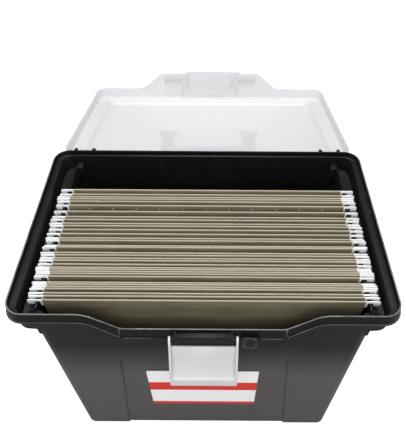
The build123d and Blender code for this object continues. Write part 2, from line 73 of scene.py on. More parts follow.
# %% Camera
FRAME_WIDTH_PX = 406
FRAME_HEIGHT_PX = 434
SENSOR_MM = 36.0
FOCAL_PX = 484.8
CENTRE_PX = (215.4, 234.5)
CAMERA_PLACE = (10.5, -337.6, 642.4)
LOOK_DOWN = 49.0
ROLL = 0.37

camera_data = bpy.data.cameras.new("camera")
camera = bpy.data.objects.new("camera", camera_data)
bpy.context.scene.collection.objects.link(camera)
tip = Matrix.Rotation(math.radians(90 - LOOK_DOWN), 4, "X")
roll = Matrix.Rotation(math.radians(ROLL), 4, "Z")
camera.matrix_world = Matrix.Translation(Vector(CAMERA_PLACE) * MM) @ tip @ roll
camera_data.sensor_width = SENSOR_MM
camera_data.lens = SENSOR_MM * FOCAL_PX / FRAME_HEIGHT_PX
camera_data.shift_x = (FRAME_WIDTH_PX / 2 - CENTRE_PX[0]) / FRAME_HEIGHT_PX
camera_data.shift_y = (CENTRE_PX[1] - FRAME_HEIGHT_PX / 2) / FRAME_HEIGHT_PX
camera_data.clip_start = 0.01
bpy.context.scene.camera = camera
print("lens in mm:", round(camera_data.lens, 2))

# %% [markdown]
# ## Shader maths
# A node tree is easier to read as an expression. This small class wraps one socket, so that a sum or
# a product of two sockets adds the Math node for it. A Build holds one node tree and makes any other
# node from its type, its settings and the values or links of its sockets.

# %% Shader helpers
class Value:
    """A number socket of a node tree that can be used in Python sums."""

    def __init__(self, build, socket):
        self.build = build
        self.socket = socket

    def maths(self, operation, *others):
        """This number and any others put through a Math node."""
        inputs = dict(enumerate((self,) + others))
        return self.build.node("ShaderNodeMath", {"operation": operation}, inputs)

    def __add__(self, other):
        return self.maths("ADD", other)

    def __sub__(self, other):
        return self.maths("SUBTRACT", other)

    def __mul__(self, other):
        return self.maths("MULTIPLY", other)

    __radd__ = __add__


class Build:
    """The node tree of one material, or of the world."""

    def __init__(self, owner):
        owner.use_nodes = True
        self.owner = owner
        self.tree = owner.node_tree

    def put(self, socket, value):
        """Set a socket to a plain value, or link it to another socket."""
        if isinstance(value, Value):
            self.tree.links.new(value.socket, socket)
        else:
            socket.default_value = value

    def node(self, kind, settings=None, inputs=None, output=0):
        """Any node: its settings first, then its sockets, and one of its outputs back."""
        made = self.tree.nodes.new(kind)
        for key, value in (settings or {}).items():
            setattr(made, key, value)
        for key, value in (inputs or {}).items():
            self.put(made.inputs[key], value)
        return Value(self, made.outputs[output])

    def surface(self, **inputs):
        """Set the sockets of the Principled shader, with _ for a space in their names."""
        shader = self.tree.nodes["Principled BSDF"]
        for key, value in inputs.items():
            self.put(shader.inputs[key.replace("_", " ")], value)
        return self.owner


def new_build(name):
    """The tree of a new material."""
    return Build(bpy.data.materials.new(name))


def place_of(build):
    """The place on the object, in metres."""
    return build.node("ShaderNodeTexCoord", output="Object")


def coordinate(build, axis):
    """The place on the object along the axis of that name, in metres."""
    return build.node("ShaderNodeSeparateXYZ", {}, {"Vector": place_of(build)}, axis)


def stored(build, name):
    """A number stored on the vertices under a name."""
    return build.node("ShaderNodeAttribute", {"attribute_name": name}, output="Fac")


def ray_is(build, kind):
    """1 for a ray of that kind, such as Camera, and 0 for any other."""
    return build.node("ShaderNodeLightPath", output=f"Is {kind} Ray")


def noise(build, scale, detail=2.0, stretch=(1, 1, 1)):
    """Soft cloudy noise, scale waves a metre, stretched along the axes."""
    place = build.node("ShaderNodeMapping", {}, {"Vector": place_of(build), "Scale": stretch})
    return build.node("ShaderNodeTexNoise", {}, {"Vector": place, "Scale": scale, "Detail": detail})


def ramp(build, value, low, high):
    """A number that goes from 0 to 1 as value goes from low to high, and stays there."""
    return build.node(
        "ShaderNodeMapRange", {"clamp": True}, {"Value": value, "From Min": low, "From Max": high}
    )


def blend_colours(build, factor, first, second):
    """A mix of two colours."""
    return build.node(
        "ShaderNodeMix", {"data_type": "RGBA"}, {"Factor": factor, 6: first, 7: second}, output=2
    )


def bump(build, height, strength, distance):
    """A bumped normal from a height."""
    return build.node(
        "ShaderNodeBump", {}, {"Height": height, "Strength": strength, "Distance": distance}
    )


def opaque(red, green, blue):
    """A colour with its alpha."""
    return (red, green, blue, 1.0)


# %% [markdown]
# ## Modelling helpers
# Every new piece starts as a primitive at its real place and is shaped in edit mode. In a script there
# is no mouse, so faces and edges are picked by a test on their place, given here in millimetres.

# %% Start a piece and pick its parts
X, Y, Z = 0, 1, 2


def clear_selection():
    """Deselect everything, because an operator acts on all that is selected."""
    for thing in bpy.context.view_layer.objects:
        thing.select_set(False)
    bpy.context.view_layer.objects.active = None


def choose(piece):
    """Select one piece alone and make it the active one."""
    clear_selection()
    piece.select_set(True)
    bpy.context.view_layer.objects.active = piece


def settle(name):
    """Name the piece that was just added, and move its place and size into its mesh."""
    made = bpy.context.object
    made.name = name
    bpy.ops.object.transform_apply(location=True, rotation=True, scale=True)
    return made


def start_box(name, low, high):
    """A box between two corners, in millimetres."""
    clear_selection()
    centre = [(a + b) / 2 * MM for a, b in zip(low, high)]
    size = [(b - a) * MM for a, b in zip(low, high)]
    bpy.ops.mesh.primitive_cube_add(size=1, location=centre, scale=size)
    return settle(name)


def start_bar(name, x0, x1, y, z, radius):
    """A round bar along X between two places."""
    clear_selection()
    bpy.ops.mesh.primitive_cylinder_add(
        vertices=24, radius=radius * MM, depth=(x1 - x0) * MM,
        location=((x0 + x1) / 2 * MM, y * MM, z * MM), rotation=(0, math.pi / 2, 0),
    )
    return settle(name)


def edit(piece):
    """Go into edit mode on one piece."""
    choose(piece)
    bpy.ops.object.mode_set(mode="EDIT")


def done():
    """Leave edit mode."""
    bpy.ops.object.mode_set(mode="OBJECT")


def middle(part):
    """The middle of a vertex, edge or face, in millimetres."""
    if isinstance(part, bmesh.types.BMVert):
        return part.co / MM
    corners = [vertex.co for vertex in part.verts]
    return sum(corners, Vector()) / len(corners) / MM


def pick(kind, test):
    """Select, in edit mode, the vertices, edges or faces whose test is true."""
    bpy.ops.mesh.select_mode(type=kind)
    bpy.ops.mesh.select_all(action="DESELECT")
    data = bpy.context.object.data
    mesh = bmesh.from_edit_mesh(data)
    parts = {"VERT": mesh.verts, "EDGE": mesh.edges, "FACE": mesh.faces}[kind]
    found = [part for part in parts if test(part)]
    for part in found:
        part.select_set(True)
    mesh.select_flush_mode()
    bmesh.update_edit_mesh(data)
    return len(found)


def pick_numbers(numbers):
    """Select vertices by number."""
    wanted = set(numbers)
    pick("VERT", lambda vertex: vertex.index in wanted)


def along(edge, axis):
    """True for an edge that runs along an axis."""
    run = edge.verts[0].co - edge.verts[1].co
    return abs(run[axis]) > 0.9 * run.length


def round_edges(piece, test, width, segments):
    """Round the edges of a piece that pass a test, and tell how many they are."""
    edit(piece)
    found = pick("EDGE", test)
    bpy.ops.mesh.bevel(offset=width * MM, segments=segments, affect="EDGES")
    done()
    return found


def shift_picked(x=0.0, y=0.0, z=0.0):
    """Move what is selected, in millimetres."""
    bpy.ops.transform.translate(value=(x * MM, y * MM, z * MM))


def extrude_picked(x=0.0, y=0.0, z=0.0):
    """Extrude what is selected, in millimetres."""
    bpy.ops.mesh.extrude_region_move(TRANSFORM_OT_translate={"value": (x * MM, y * MM, z * MM)})


def apply_modifier(piece, kind, **settings):
    """Give a piece a modifier with its settings, and apply it."""
    choose(piece)
    modifier = piece.modifiers.new(kind, kind)
    for key, value in settings.items():
        setattr(modifier, key, value)
    bpy.ops.object.modifier_apply(modifier=modifier.name)


def soften(piece, width, segments=2, angle=30.0):
    """Round every edge of a piece that is sharper than an angle."""
    apply_modifier(
        piece, "BEVEL", width=width * MM, segments=segments, limit_method="ANGLE",
        angle_limit=math.radians(angle), use_clamp_overlap=True,
    )


def smooth(piece, angle=35.0):
    """Shade gentle edges smooth and keep sharp ones."""
    choose(piece)
    bpy.ops.object.shade_smooth_by_angle(angle=math.radians(angle))


def combine(piece, other, operation):
    """Use up another solid in a boolean operation on a piece."""
    apply_modifier(piece, "BOOLEAN", operation=operation, solver="EXACT", object=other)
    bpy.data.objects.remove(other)


def cut(piece, other):
    """Take another solid's volume out of a piece."""
    combine(piece, other, "DIFFERENCE")


def unite(piece, other):
    """Melt another solid into a piece."""
    combine(piece, other, "UNION")


def join(name, pieces):
    """Join pieces into one."""
    clear_selection()
    for piece in pieces:
        piece.select_set(True)
    bpy.context.view_layer.objects.active = pieces[0]
    bpy.ops.object.join()
    pieces[0].name = name
    pieces[0].data.name = name
    return pieces[0]


def copy_of(piece, name, shift=(0, 0, 0)):
    """A copy with its own mesh, moved by a shift in millimetres."""
    made = piece.copy()
    made.data = piece.data.copy()
    made.name = name
    bpy.context.scene.collection.objects.link(made)
    made.data.transform(Matrix.Translation(Vector(shift) * MM))
    return made


# %% [markdown]
# ## Rings
# The tub and the lid are shells with a rounded rectangular outline. Each is drawn as one skin that goes
# up the outside, over the rim and down the inside. A step of that skin is an extrude of the end face,
# after which each of its four corners is moved and scaled about its own sharp corner. That keeps the
# straight sides straight and gives each ring its own corner radius, which plain scaling would not.

# %% Rings
CORNER_STEPS = 8


def rounded_start(name, z0, z1, half_x, half_y, corner):
    """A box with rounded upright corners, its top face selected in edit mode."""
    made = start_box(name, (-half_x, -half_y, z0), (half_x, half_y, z1))
    round_edges(made, lambda edge: along(edge, Z), corner, CORNER_STEPS)
    edit(made)
    pick("FACE", lambda face: face.normal.z > 0.9)
    return made


def reshape_end(now, then):
    """Take the selected end from one ring to the next, without its height."""
    _, now_x, now_y, now_corner = now
    height, then_x, then_y, then_corner = then
    factor = then_corner / now_corner
    mesh = bmesh.from_edit_mesh(bpy.context.object.data)
    ring = [(v.index, v.co.x > 0, v.co.y > 0) for v in mesh.verts if v.select]
    for side, right in ((-1, False), (1, True)):
        for end, back in ((-1, False), (1, True)):
            pick_numbers([i for i, is_right, is_back in ring if (is_right, is_back) == (right, back)])
            shift_picked(side * (then_x - now_x), end * (then_y - now_y))
            sharp = (side * then_x * MM, end * then_y * MM, height * MM)
            bpy.ops.transform.resize(value=(factor, factor, 1), center_override=sharp)
    pick_numbers([i for i, _, _ in ring])
    bpy.ops.mesh.select_mode(type="FACE")


def follow_rings(rings):
    """Extrude the selected end face through a list of rings: height, half sizes and corner."""
    for now, then in zip(rings, rings[1:]):
        extrude_picked(z=then[0] - now[0])
        reshape_end(now, then)


# %% [markdown]
# ## The tub
# The tub is one moulding of black polypropylene, with a wall 2.5 mm thick that leans out by 4 mm a side.
# Near the top it widens to the left and right, so that the ends of the folder rods have room. Its rim is
# a ledge for the lid, a thin ridge outside that and a flared lip that hangs outside the ridge. The ridge
# and the edge of the lip are small round beads, and those rounds are what catch the light.

# %% Tub skin
WALL = 2.5
BOTTOM_ROUND = 5.0


def bead(centre, radius, start, end, steps=6):
    """Rings around a small arc about one ring, its angles in degrees from outwards to up."""
    height, half_x, half_y, corner = centre
    rings = []
    for step in range(steps + 1):
        turn = math.radians(start + (end - start) * step / steps)
        out = radius * math.cos(turn)
        rings.append((height + radius * math.sin(turn), half_x + out, half_y + out, corner + out))
    return rings


TUB_RINGS = [
    (8.0, 153.3, 107.0, 9.5),
    (246.0, 157.3, 111.0, 12.5),
    (248.0, 172.0, 111.0, 12.5),
    (267.5, 172.0, 111.0, 12.5),
    (267.5, 177.8, 112.8, 16.8),
    (263.0, 178.7, 113.7, 17.6),
] + bead((263.75, 179.75, 114.75, 18.65), 0.75, -90, 90) + [
    (264.55, 179.3, 114.3, 18.2),
] + bead((274.1, 177.1, 112.1, 16.1), 0.9, 0, 180) + [
    (269.5, 176.2, 111.2, 15.2),
    (269.5, 169.5, 108.5, 10.0),
    (251.0, 169.5, 108.5, 10.0),
    (249.0, 154.8, 108.5, 10.0),
    (8.0, 151.0, 104.7, 7.2),
    (3.0, 147.0, 100.7, 5.0),
]

tub = rounded_start("tub", 0.0, *TUB_RINGS[0])
follow_rings(TUB_RINGS)
done()
round_edges(tub, lambda edge: middle(edge).z < 0.01, BOTTOM_ROUND, 4)
print("tub skin:", len(tub.data.vertices), "vertices")

# %% [markdown]
# The front of the rim dips by 24 mm in the middle, with a wide round at the top of each slope and a
# tight one at its foot. The long front faces are bisected into columns along that curve, and each
# column of rim vertices is then moved down by its share of the dip.

# %% Front dip
DIP = 24.0
DIP_RUN = 30.0
DIP_SLOPE = math.atan(DIP / DIP_RUN)
DIP_TOP_ROUND = 24.0
DIP_FOOT_ROUND = 9.0
LIP_EXTRA = 2.5
RIM_DIP_HALF = 76.0
LID_DIP_HALF = 74.5
FRONT_Y = -100.0


def dip_columns(foot_half, steps_top=6, steps_foot=4):
    """The places of the columns, from the top of the slope down, each with the dip's depth there."""
    top_at = foot_half + DIP_RUN + DIP_TOP_ROUND * math.tan(DIP_SLOPE / 2)
    foot_at = foot_half - DIP_FOOT_ROUND * math.tan(DIP_SLOPE / 2)
    columns = []
    for step in range(steps_top + 1):
        turn = DIP_SLOPE * step / steps_top
        columns.append((top_at - DIP_TOP_ROUND * math.sin(turn), DIP_TOP_ROUND * (1 - math.cos(turn))))
    for step in range(steps_foot + 1):
        turn = DIP_SLOPE * step / steps_foot
        depth = DIP - DIP_FOOT_ROUND * (1 - math.cos(turn))
        columns.append((foot_at + DIP_FOOT_ROUND * math.sin(turn), depth))
    return columns


def in_column(vertex, place, low, high):
    """True for a front vertex in one column, between two heights."""
    at = middle(vertex)
    return abs(abs(at.x) - place) < 0.01 and at.y < FRONT_Y and low < at.z < high


def crosses(face, cut_x, front, low, high):
    """True for a front face between two heights that a cut at one X goes through."""
    xs = [vertex.co.x / MM for vertex in face.verts]
    at = middle(face)
    return min(xs) < cut_x - 0.1 and max(xs) > cut_x + 0.1 and at.y < front and low < at.z < high


def bisect_columns(foot_half, front, low, high):
    """Cut the front faces between two heights along every column."""
    for place, _ in dip_columns(foot_half):
        for cut_x in (-place, place):
            pick("FACE", lambda face: crosses(face, cut_x, front, low, high))
            bpy.ops.mesh.bisect(plane_co=(cut_x * MM, 0, 0), plane_no=(1, 0, 0))


edit(tub)
bisect_columns(RIM_DIP_HALF, FRONT_Y, low=20, high=300)
for place, depth in dip_columns(RIM_DIP_HALF)[1:]:
    if pick("VERT", lambda vertex: in_column(vertex, place, 262, 265)):
        shift_picked(z=-LIP_EXTRA * depth / DIP)
    pick("VERT", lambda vertex: in_column(vertex, place, 240, 300))
    shift_picked(z=-depth)
done()
print("tub with its dip:", len(tub.data.vertices), "vertices")

# %% [markdown]
# Where the walls meet the ledges, a real moulding has no sharp edge either. The bevel comes before
# anything is cut out, because a cut leaves short edges, and the shortest edge limits how wide a bevel
# can be. Its angle limit leaves out the steps of the beads, which are round already.

# %% Round the rim
soften(tub, 0.4, angle=50.0)

# %% [markdown]
# The outside of the rim is polished in the mould. Along the front and the sides, the crests of its beads
# get a painted highlight, a paler line in their colour. Two numbers stored on each vertex, 1 there and 0
# elsewhere, let the black plastic follow the rim down the dip, where the height alone could not tell rim
# from wall.

# %% Mark the rim
RIM_FOOT = 262.0
RIDGE_CREST = 275.0
LIP_CREST = 264.5
LEDGE_HALF_X = 175.0
LEDGE_HALF_Y = 111.0
PAINTED_HIGHLIGHT_BACK = 104.0


def dip_at(x):
    """How far the rim has dropped at a place along the front, in millimetres."""
    columns = dip_columns(RIM_DIP_HALF)
    if abs(x) > columns[0][0] + 1:
        return 0.0
    if abs(x) < columns[-1][0] - 1:
        return DIP
    return min(columns, key=lambda column: abs(column[0] - abs(x)))[1]


painted_rim_highlight = []
rim = []
for vertex in tub.data.vertices:
    x, y, z = vertex.co / MM
    drop = dip_at(x) if y < FRONT_Y else 0.0
    lip_z = z + drop * (1 + LIP_EXTRA / DIP)
    on_crest = z + drop > RIDGE_CREST - 0.15 or abs(lip_z - LIP_CREST) < 0.1
    # Painted highlight: the bead crests along the front and the sides are marked for a pale line, and the
    # back is left out.
    painted_rim_highlight.append(float(on_crest and y < PAINTED_HIGHLIGHT_BACK))
    outside = abs(x) > LEDGE_HALF_X or abs(y) > LEDGE_HALF_Y
    rim.append(float(outside and lip_z > RIM_FOOT))
for name, values in (("painted_rim_highlight", painted_rim_highlight), ("rim", rim)):
    tub.data.attributes.new(name, "FLOAT", "POINT").data.foreach_set("value", values)
print("rim vertices:", int(sum(rim)), "of which rubbed:", int(sum(painted_rim_highlight)))

# %% [markdown]
# Front and back have a shallow recessed panel, narrower at its top and open at the bottom. Behind it
# the wall steps inwards, so it stays as thick as it was. A trapezoid block adds the step on the inside,
# and a second one, whose sides lean, is then cut out of the outside.

# %% Recessed panels
PANEL_TOP = 185.0
PANEL_TOP_HALF = 87.0
PANEL_FOOT_HALF = 102.5
PANEL_DEPTH = 3.0
PANEL_ROUND = 1.3
RECESS_LEAN = 1.8
STEP_GROW = 2.5
WALL_LEAN = 4.0 / 247.0
FOOT_Y = -107.0


def panel_block(name, grow, outer, inner, side_lean):
    """A trapezoid block that follows the lean of the front wall between two depths from it."""
    low = -12.0
    high = PANEL_TOP + grow
    made = start_box(name, (-1, -1, low), (1, 1, high))
    edit(made)
    for top, z, half in ((False, low, PANEL_FOOT_HALF), (True, high, PANEL_TOP_HALF)):
        for deep, depth, lean in ((False, outer + 1, 0.0), (True, inner - 1, side_lean)):
            pick("VERT", lambda vertex: (vertex.co.z > 0) == top and (vertex.co.y > 0) == deep)
            bpy.ops.transform.resize(value=(half + grow - lean, 1, 1), center_override=(0, 0, 0))
            shift_picked(y=FOOT_Y - z * WALL_LEAN + depth, z=-lean if top else 0.0)
    done()
    return made


def on_panel_edge(edge):
    """True for the long edges of the recess, on the outside of the front or back wall."""
    a, b = (middle(vertex) for vertex in edge.verts)
    rise = abs(a.z - b.z)
    if min(abs(a.y), abs(b.y)) < 103.0 or max(a.z, b.z) > PANEL_TOP + 1 or (a - b).length < 1.0:
        return False
    if abs(abs(a.y) - abs(b.y)) > 2.0 and rise < 20:
        return False
    at = (a + b) / 2
    line = PANEL_FOOT_HALF + (PANEL_TOP_HALF - PANEL_FOOT_HALF) * at.z / PANEL_TOP
    on_side = abs(abs(at.x) - line) < 2.5 and rise > 20
    on_top = at.z > PANEL_TOP - 2.5 and abs(at.x) < line + 1 and rise < 2
    return on_side or on_top


for turn in (0.0, math.pi):
    step = panel_block("step", STEP_GROW, -1.0, PANEL_DEPTH + WALL, 0.0)
    recess = panel_block("recess", 0.0, -3.0, PANEL_DEPTH, RECESS_LEAN)
    outside = start_box("outside", (-150, -200, -20), (150, FOOT_Y + 1.5, 200))
    edit(outside)
    pick("VERT", lambda vertex: vertex.co.z > 0)
    shift_picked(y=-200 * WALL_LEAN)
    done()
    cut(step, outside)
    cut(step, start_box("under_floor", (-150, -120, -20), (150, 0, 1.0)))
    for block in (step, recess):
        block.data.transform(Matrix.Rotation(turn, 4, "Z"))
    unite(tub, step)
    cut(tub, recess)
print("recess edges:", round_edges(tub, on_panel_edge, PANEL_ROUND, 3))

# %% [markdown]
# The latch, the two hinge arms and the tongue of the lid need gaps in the rim. Each gap is a plain box
# taken out of the moulding, as a slide in the mould would leave it.

# %% Gaps in the rim
RIM_HALF_DEPTH = 113.0
RIM_OUTSIDE = 118.0
LATCH_GAP_HALF = 34.2
ARM_X = 146.6
ARM_GAP_HALF = 8.8
cut(tub, start_box(
    "latch_gap", (-LATCH_GAP_HALF, -RIM_OUTSIDE, 222.0), (LATCH_GAP_HALF, -RIM_HALF_DEPTH, 275.0)
))
for side in (-1, 1):
    left, right = side * ARM_X - ARM_GAP_HALF, side * ARM_X + ARM_GAP_HALF
    cut(tub, start_box("arm_gap", (left, RIM_HALF_DEPTH, 262.5), (right, RIM_OUTSIDE, 275.5)))
cut(tub, start_box("tongue_gap", (-37.5, -111.2, 242.9), (47.8, -106.0, 248.1)))
print("tub with its gaps:", len(tub.data.vertices), "vertices")

# %% [markdown]
# The folder rods hang on a thin rail along each side, which ends in a square post at the front and
# back. A rail is a box with its edges rounded. A post is a box whose top edges are rounded much more.

# %% Rails and posts
RAIL_X = 154.5
RAIL_HALF_THICK = 1.2
RAIL_HALF = 98.8
POST_WIDTH = 9.0
POST_TOP = 261.0
POST_ROUND = 2.6
tub_parts = [tub]
for side in (-1, 1):
    low_x, high_x = side * RAIL_X - RAIL_HALF_THICK, side * RAIL_X + RAIL_HALF_THICK
    rail = start_box("rail", (low_x, -RAIL_HALF, 243.0), (high_x, RAIL_HALF, 262.5))
    soften(rail, 0.6)
    tub_parts.append(rail)
    rail_face = RAIL_X + RAIL_HALF_THICK
    low_x, high_x = sorted((side * rail_face, side * (rail_face - POST_WIDTH)))
    for end in (-1, 1):
        low_y, high_y = sorted((end * 98.5, end * 109.5))
        post = start_box("post", (low_x, low_y, 236.0), (high_x, high_y, POST_TOP))
        round_edges(post, lambda edge: middle(edge).z > POST_TOP - 0.1 or along(edge, Z), POST_ROUND, 4)
        tub_parts.append(post)
print("rails and posts:", len(tub_parts) - 1)

# %% [markdown]
# The lid turns between two pairs of lugs on the back. A lug is a thin plate. The points of a flat circle
# are moved to its outline, the face is extruded, and the bore for the pin is then cut through it.

# %% Hinge lugs
HINGE_BORE = 1.95
LUG_RADIUS = 4.6
LUG_THICK = 3.6
LUG_OUTSIDE = 112.9


def place_circle(name, points, x, fill):
    """A circle at one X, its points moved to a list of (y, z) places, left in edit mode."""
    clear_selection()
    bpy.ops.mesh.primitive_circle_add(vertices=len(points), radius=MM, fill_type=fill)
    made = settle(name)
    edit(made)
    starts = [vertex.co.copy() for vertex in bmesh.from_edit_mesh(made.data).verts]
    for number, (start, (y, z)) in enumerate(zip(starts, points)):
        pick_numbers([number])
        bpy.ops.transform.translate(value=Vector((x, y, z)) * MM - start)
    return made


def start_plate(name, outline, x0, x1):
    """A plate with an outline of (y, z) points, from x0 to x1."""
    made = place_circle(name, outline, x0, "NGON")
    bpy.ops.mesh.select_all(action="SELECT")
    extrude_picked(x1 - x0)
    bpy.ops.mesh.select_all(action="SELECT")
    bpy.ops.mesh.normals_make_consistent(inside=False)
    done()
    return made


def arc(centre_y, centre_z, radius, start, end, steps=8):
    """Points on an arc, its angles in degrees from +Y towards +Z."""
    turns = [math.radians(start + (end - start) * step / steps) for step in range(steps + 1)]
    return [(centre_y + radius * math.cos(t), centre_z + radius * math.sin(t)) for t in turns]


LUG_OUTLINE = [(109.75, 257.0)] + arc(HINGE_Y, HINGE_Z, LUG_RADIUS, -90, 40)
LUG_OUTLINE += [(LUG_OUTSIDE, 270.4), (LUG_OUTSIDE, 269.3), (109.75, 269.3)]
lugs = []
for side in (-1, 1):
    for hand in (-1, 1):
        inner_x = side * ARM_X + hand * ARM_GAP_HALF
        x0, x1 = sorted((inner_x, inner_x + hand * LUG_THICK))
        lug = start_plate("lug", LUG_OUTLINE, x0, x1)
        soften(lug, 0.3, segments=1)
        cut(lug, start_bar("bore", x0 - 1, x1 + 1, HINGE_Y, HINGE_Z, HINGE_BORE))
        lugs.append(lug)
tub_parts += lugs
print("hinge lugs:", len(lugs))

# %% [markdown]
# At the front a block with a cheek at each side carries the latch on two short pins. The block has
# thin raised lines along its face. Next to it, a flat eyelet with a hole takes a small padlock.

# %% Latch mount and eyelet
LATCH_Y = -117.0
LATCH_Z = 240.0
LATCH_PIN = 2.5
MOUNT_HALF = 25.2
MOUNT_FRONT = -119.4
MOUNT_BACK = -110.7
LINE_FEET = (235.4, 245.2)
MOUNT_CHEEK = [
    (MOUNT_BACK, 231.0), (MOUNT_FRONT, 234.0), (MOUNT_FRONT, 245.0), (-113.0, 249.0), (MOUNT_BACK, 243.0),
]
EYELET_CENTRE = Vector((43.3, -121.2, 241.0))
EYELET_BORE = 3.4
EYELET_ROUND = 5.6

mount = start_box("mount", (-MOUNT_HALF, MOUNT_FRONT, 234.0), (MOUNT_HALF, MOUNT_BACK, 247.0))
soften(mount, 0.7)
tub_parts.append(mount)
for foot in LINE_FEET:
    line = start_box("raised_line", (-24.0, MOUNT_FRONT - 0.4, foot), (24.0, MOUNT_FRONT + 0.4, foot + 0.7))
    soften(line, 0.2)
    tub_parts.append(line)
for side in (-1, 1):
    x0, x1 = sorted((side * 25.1, side * 27.4))
    cheek = start_plate("cheek", MOUNT_CHEEK, x0, x1)
    soften(cheek, 0.5)
    x0, x1 = sorted((side * 25.0, side * 32.0))
    pin = start_bar("pin", x0, x1, LATCH_Y, LATCH_Z, LATCH_PIN)
    soften(pin, 0.3, segments=1)
    tub_parts += [cheek, pin]
eyelet = start_box("eyelet", (34.8, -128.0, 239.5), (51.8, -114.6, 242.5))
round_edges(eyelet, lambda edge: along(edge, Z) and middle(edge).y < -127, EYELET_ROUND, 8)
clear_selection()
bpy.ops.mesh.primitive_cylinder_add(
    vertices=32, radius=EYELET_BORE * MM, depth=20 * MM, location=EYELET_CENTRE * MM
)
cut(eyelet, settle("eyelet_bore"))
soften(eyelet, 0.35)
tub_parts.append(eyelet)
tub = join("tub", tub_parts)
smooth(tub)
print("finished tub:", len(tub.data.vertices), "vertices")
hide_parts("tub")
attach(tub, "tub")

# %% [markdown]
# ## The lid
# The lid is a tray of clear polypropylene with a wall 2 mm thick: a skirt, a flat flange and a raised
# dome. It is drawn closed and upside down, so that the rings grow from the top of the dome, and is then
# turned over. The front of its skirt follows the dip of the rim, cut into columns in the same way.

# %% Lid tray
LID_RINGS = [
    (-284.8, 160.0, 99.0, 16.0),
    (-284.8, 175.5, 110.5, 14.0),
    (-269.9, 175.5, 110.5, 14.0),
    (-269.9, 173.5, 108.5, 12.0),
    (-282.8, 173.5, 108.5, 12.0),
    (-282.8, 158.0, 97.0, 14.0),
    (-289.8, 153.0, 92.0, 9.0),
]
DOME_TOP = -291.8
DOME_EDGE = (DOME_TOP, 155.0, 94.0, 11.0)
DOME_ROUND = 4.0
DOME_INSIDE_ROUND = 3.0
SKIRT_FRONT = -108.0

lid = rounded_start("lid", DOME_TOP, *LID_RINGS[0])
pick("FACE", lambda face: face.normal.z < -0.9)
reshape_end((DOME_TOP, *LID_RINGS[0][1:]), DOME_EDGE)
pick("FACE", lambda face: face.normal.z > 0.9)
follow_rings(LID_RINGS)
done()
for height, width in ((DOME_TOP, DOME_ROUND), (LID_RINGS[-1][0], DOME_INSIDE_ROUND)):
    round_edges(lid, lambda edge: abs(middle(edge).z - height) < 0.1, width, 4)
lid.data.transform(Matrix.Rotation(math.pi, 4, "X"))

edit(lid)
bisect_columns(LID_DIP_HALF, SKIRT_FRONT, low=0, high=280)
for place, depth in dip_columns(LID_DIP_HALF)[1:]:
    pick("VERT", lambda vertex: in_column(vertex, place, 0, 271))
    shift_picked(z=-depth)
done()
cut(lid, start_box("back_relief", (-180, 99.5, 265), (180, 115, 276.6)))
soften(lid, 0.45)
print("lid tray:", len(lid.data.vertices), "vertices")

# %% [markdown]
# The tab at the front carries a tongue that drops behind the rim. Its inside has two pairs of thin ribs
# and a low step along its edge, and a lip on its outside gives the latch something to snap over. They are
# melted into the tray, because a clear moulding shows every surface inside it, and overlapping pieces
# would look like glued blocks.

# %% Tab of the lid
TONGUE_FOOT = 243.7
RIB_PLACES = ((34.3, 243.9, 269.0), (42.4, 256.6, 283.4))
RIB_HALF_THICK = 0.8
RIB_FACE = -106.5
SKIRT_MIDDLE = -109.5
CATCH_HALF = 28.0

tongue = start_box("tongue", (-36.5, -110.45, TONGUE_FOOT), (46.8, -108.55, 250.0))
round_edges(tongue, lambda edge: middle(edge).z < TONGUE_FOOT + 0.1 and along(edge, Y), 1.4, 3)
unite(lid, tongue)
for side in (-1, 1):
    for place, foot, head in RIB_PLACES:
        x0, x1 = side * place - RIB_HALF_THICK, side * place + RIB_HALF_THICK
        rib = start_box("rib", (x0, SKIRT_MIDDLE, foot), (x1, RIB_FACE, head))
        round_edges(rib, lambda edge: middle(edge).y > RIB_FACE - 0.1 and along(edge, X), 1.2, 3)
        soften(rib, 0.3)
        unite(lid, rib)
    x0, x1 = sorted((side * 42.9, side * 71.0))
    step = start_box("step", (x0, SKIRT_MIDDLE, 246.3), (x1, -107.7, 257.0))
    soften(step, 0.35)
    unite(lid, step)
catch = start_box("catch", (-CATCH_HALF, -118.8, 283.0), (CATCH_HALF, -109.0, 286.8))
soften(catch, 0.6)
unite(lid, catch)
print("lid with its tab:", len(lid.data.vertices), "vertices")

# %% [markdown]
# Two arms reach over the back of the rim and end in a round barrel with a pin at each side. On the dome,
# two pairs of bored ears hold the pins of the carry handle. Both are plates with a drawn outline.

# %% Arms and ears of the lid
HANDLE_Z = 296.4
HANDLE_BORE = 2.45
HINGE_PIN = 1.9
PIN_REACH = 4.1
ARM_HALF = 8.3
ARM_OUTLINE = [(109.6, 276.6), (117.0, 276.6)] + arc(HINGE_Y, HINGE_Z, 3.0, 120, 420, 14)
ARM_OUTLINE += arc(117.4, 277.0, 2.6, 0, 90, 4) + [(109.6, 279.6)]
EAR_OUTLINE = [(-5.0, 290.8), (5.0, 290.8)] + arc(0.0, HANDLE_Z, 5.0, 0, 180, 12)
EAR_PLACES = ((43.5, 47.5), (65.5, 69.5))

for side in (-1, 1):
    arm_x = side * ARM_X
    arm = start_plate("arm", ARM_OUTLINE, arm_x - ARM_HALF, arm_x + ARM_HALF)
    soften(arm, 0.35)
    unite(lid, arm)
    for hand in (-1, 1):
        end = arm_x + hand * ARM_HALF
        x0, x1 = sorted((end - 0.3 * hand * PIN_REACH, end + hand * PIN_REACH))
        pin = start_bar("pin", x0, x1, HINGE_Y, HINGE_Z, HINGE_PIN)
        soften(pin, 0.3, segments=1)
        unite(lid, pin)
    for inner, outer in EAR_PLACES:
        x0, x1 = sorted((side * inner, side * outer))
        ear = start_plate("ear", EAR_OUTLINE, x0, x1)
        soften(ear, 0.5)
        cut(ear, start_bar("bore", x0 - 1, x1 + 1, 0.0, HANDLE_Z, HANDLE_BORE))
        unite(lid, ear)


def open_with_lid(piece):
    """Swing a piece drawn on the closed lid to where the lid rests open."""
    centre = Matrix.Translation(Vector((0, HINGE_Y, HINGE_Z)) * MM)
    turn = Matrix.Rotation(math.radians(-LID_OPEN_ANGLE), 4, "X")
    piece.data.transform(centre @ turn @ centre.inverted())


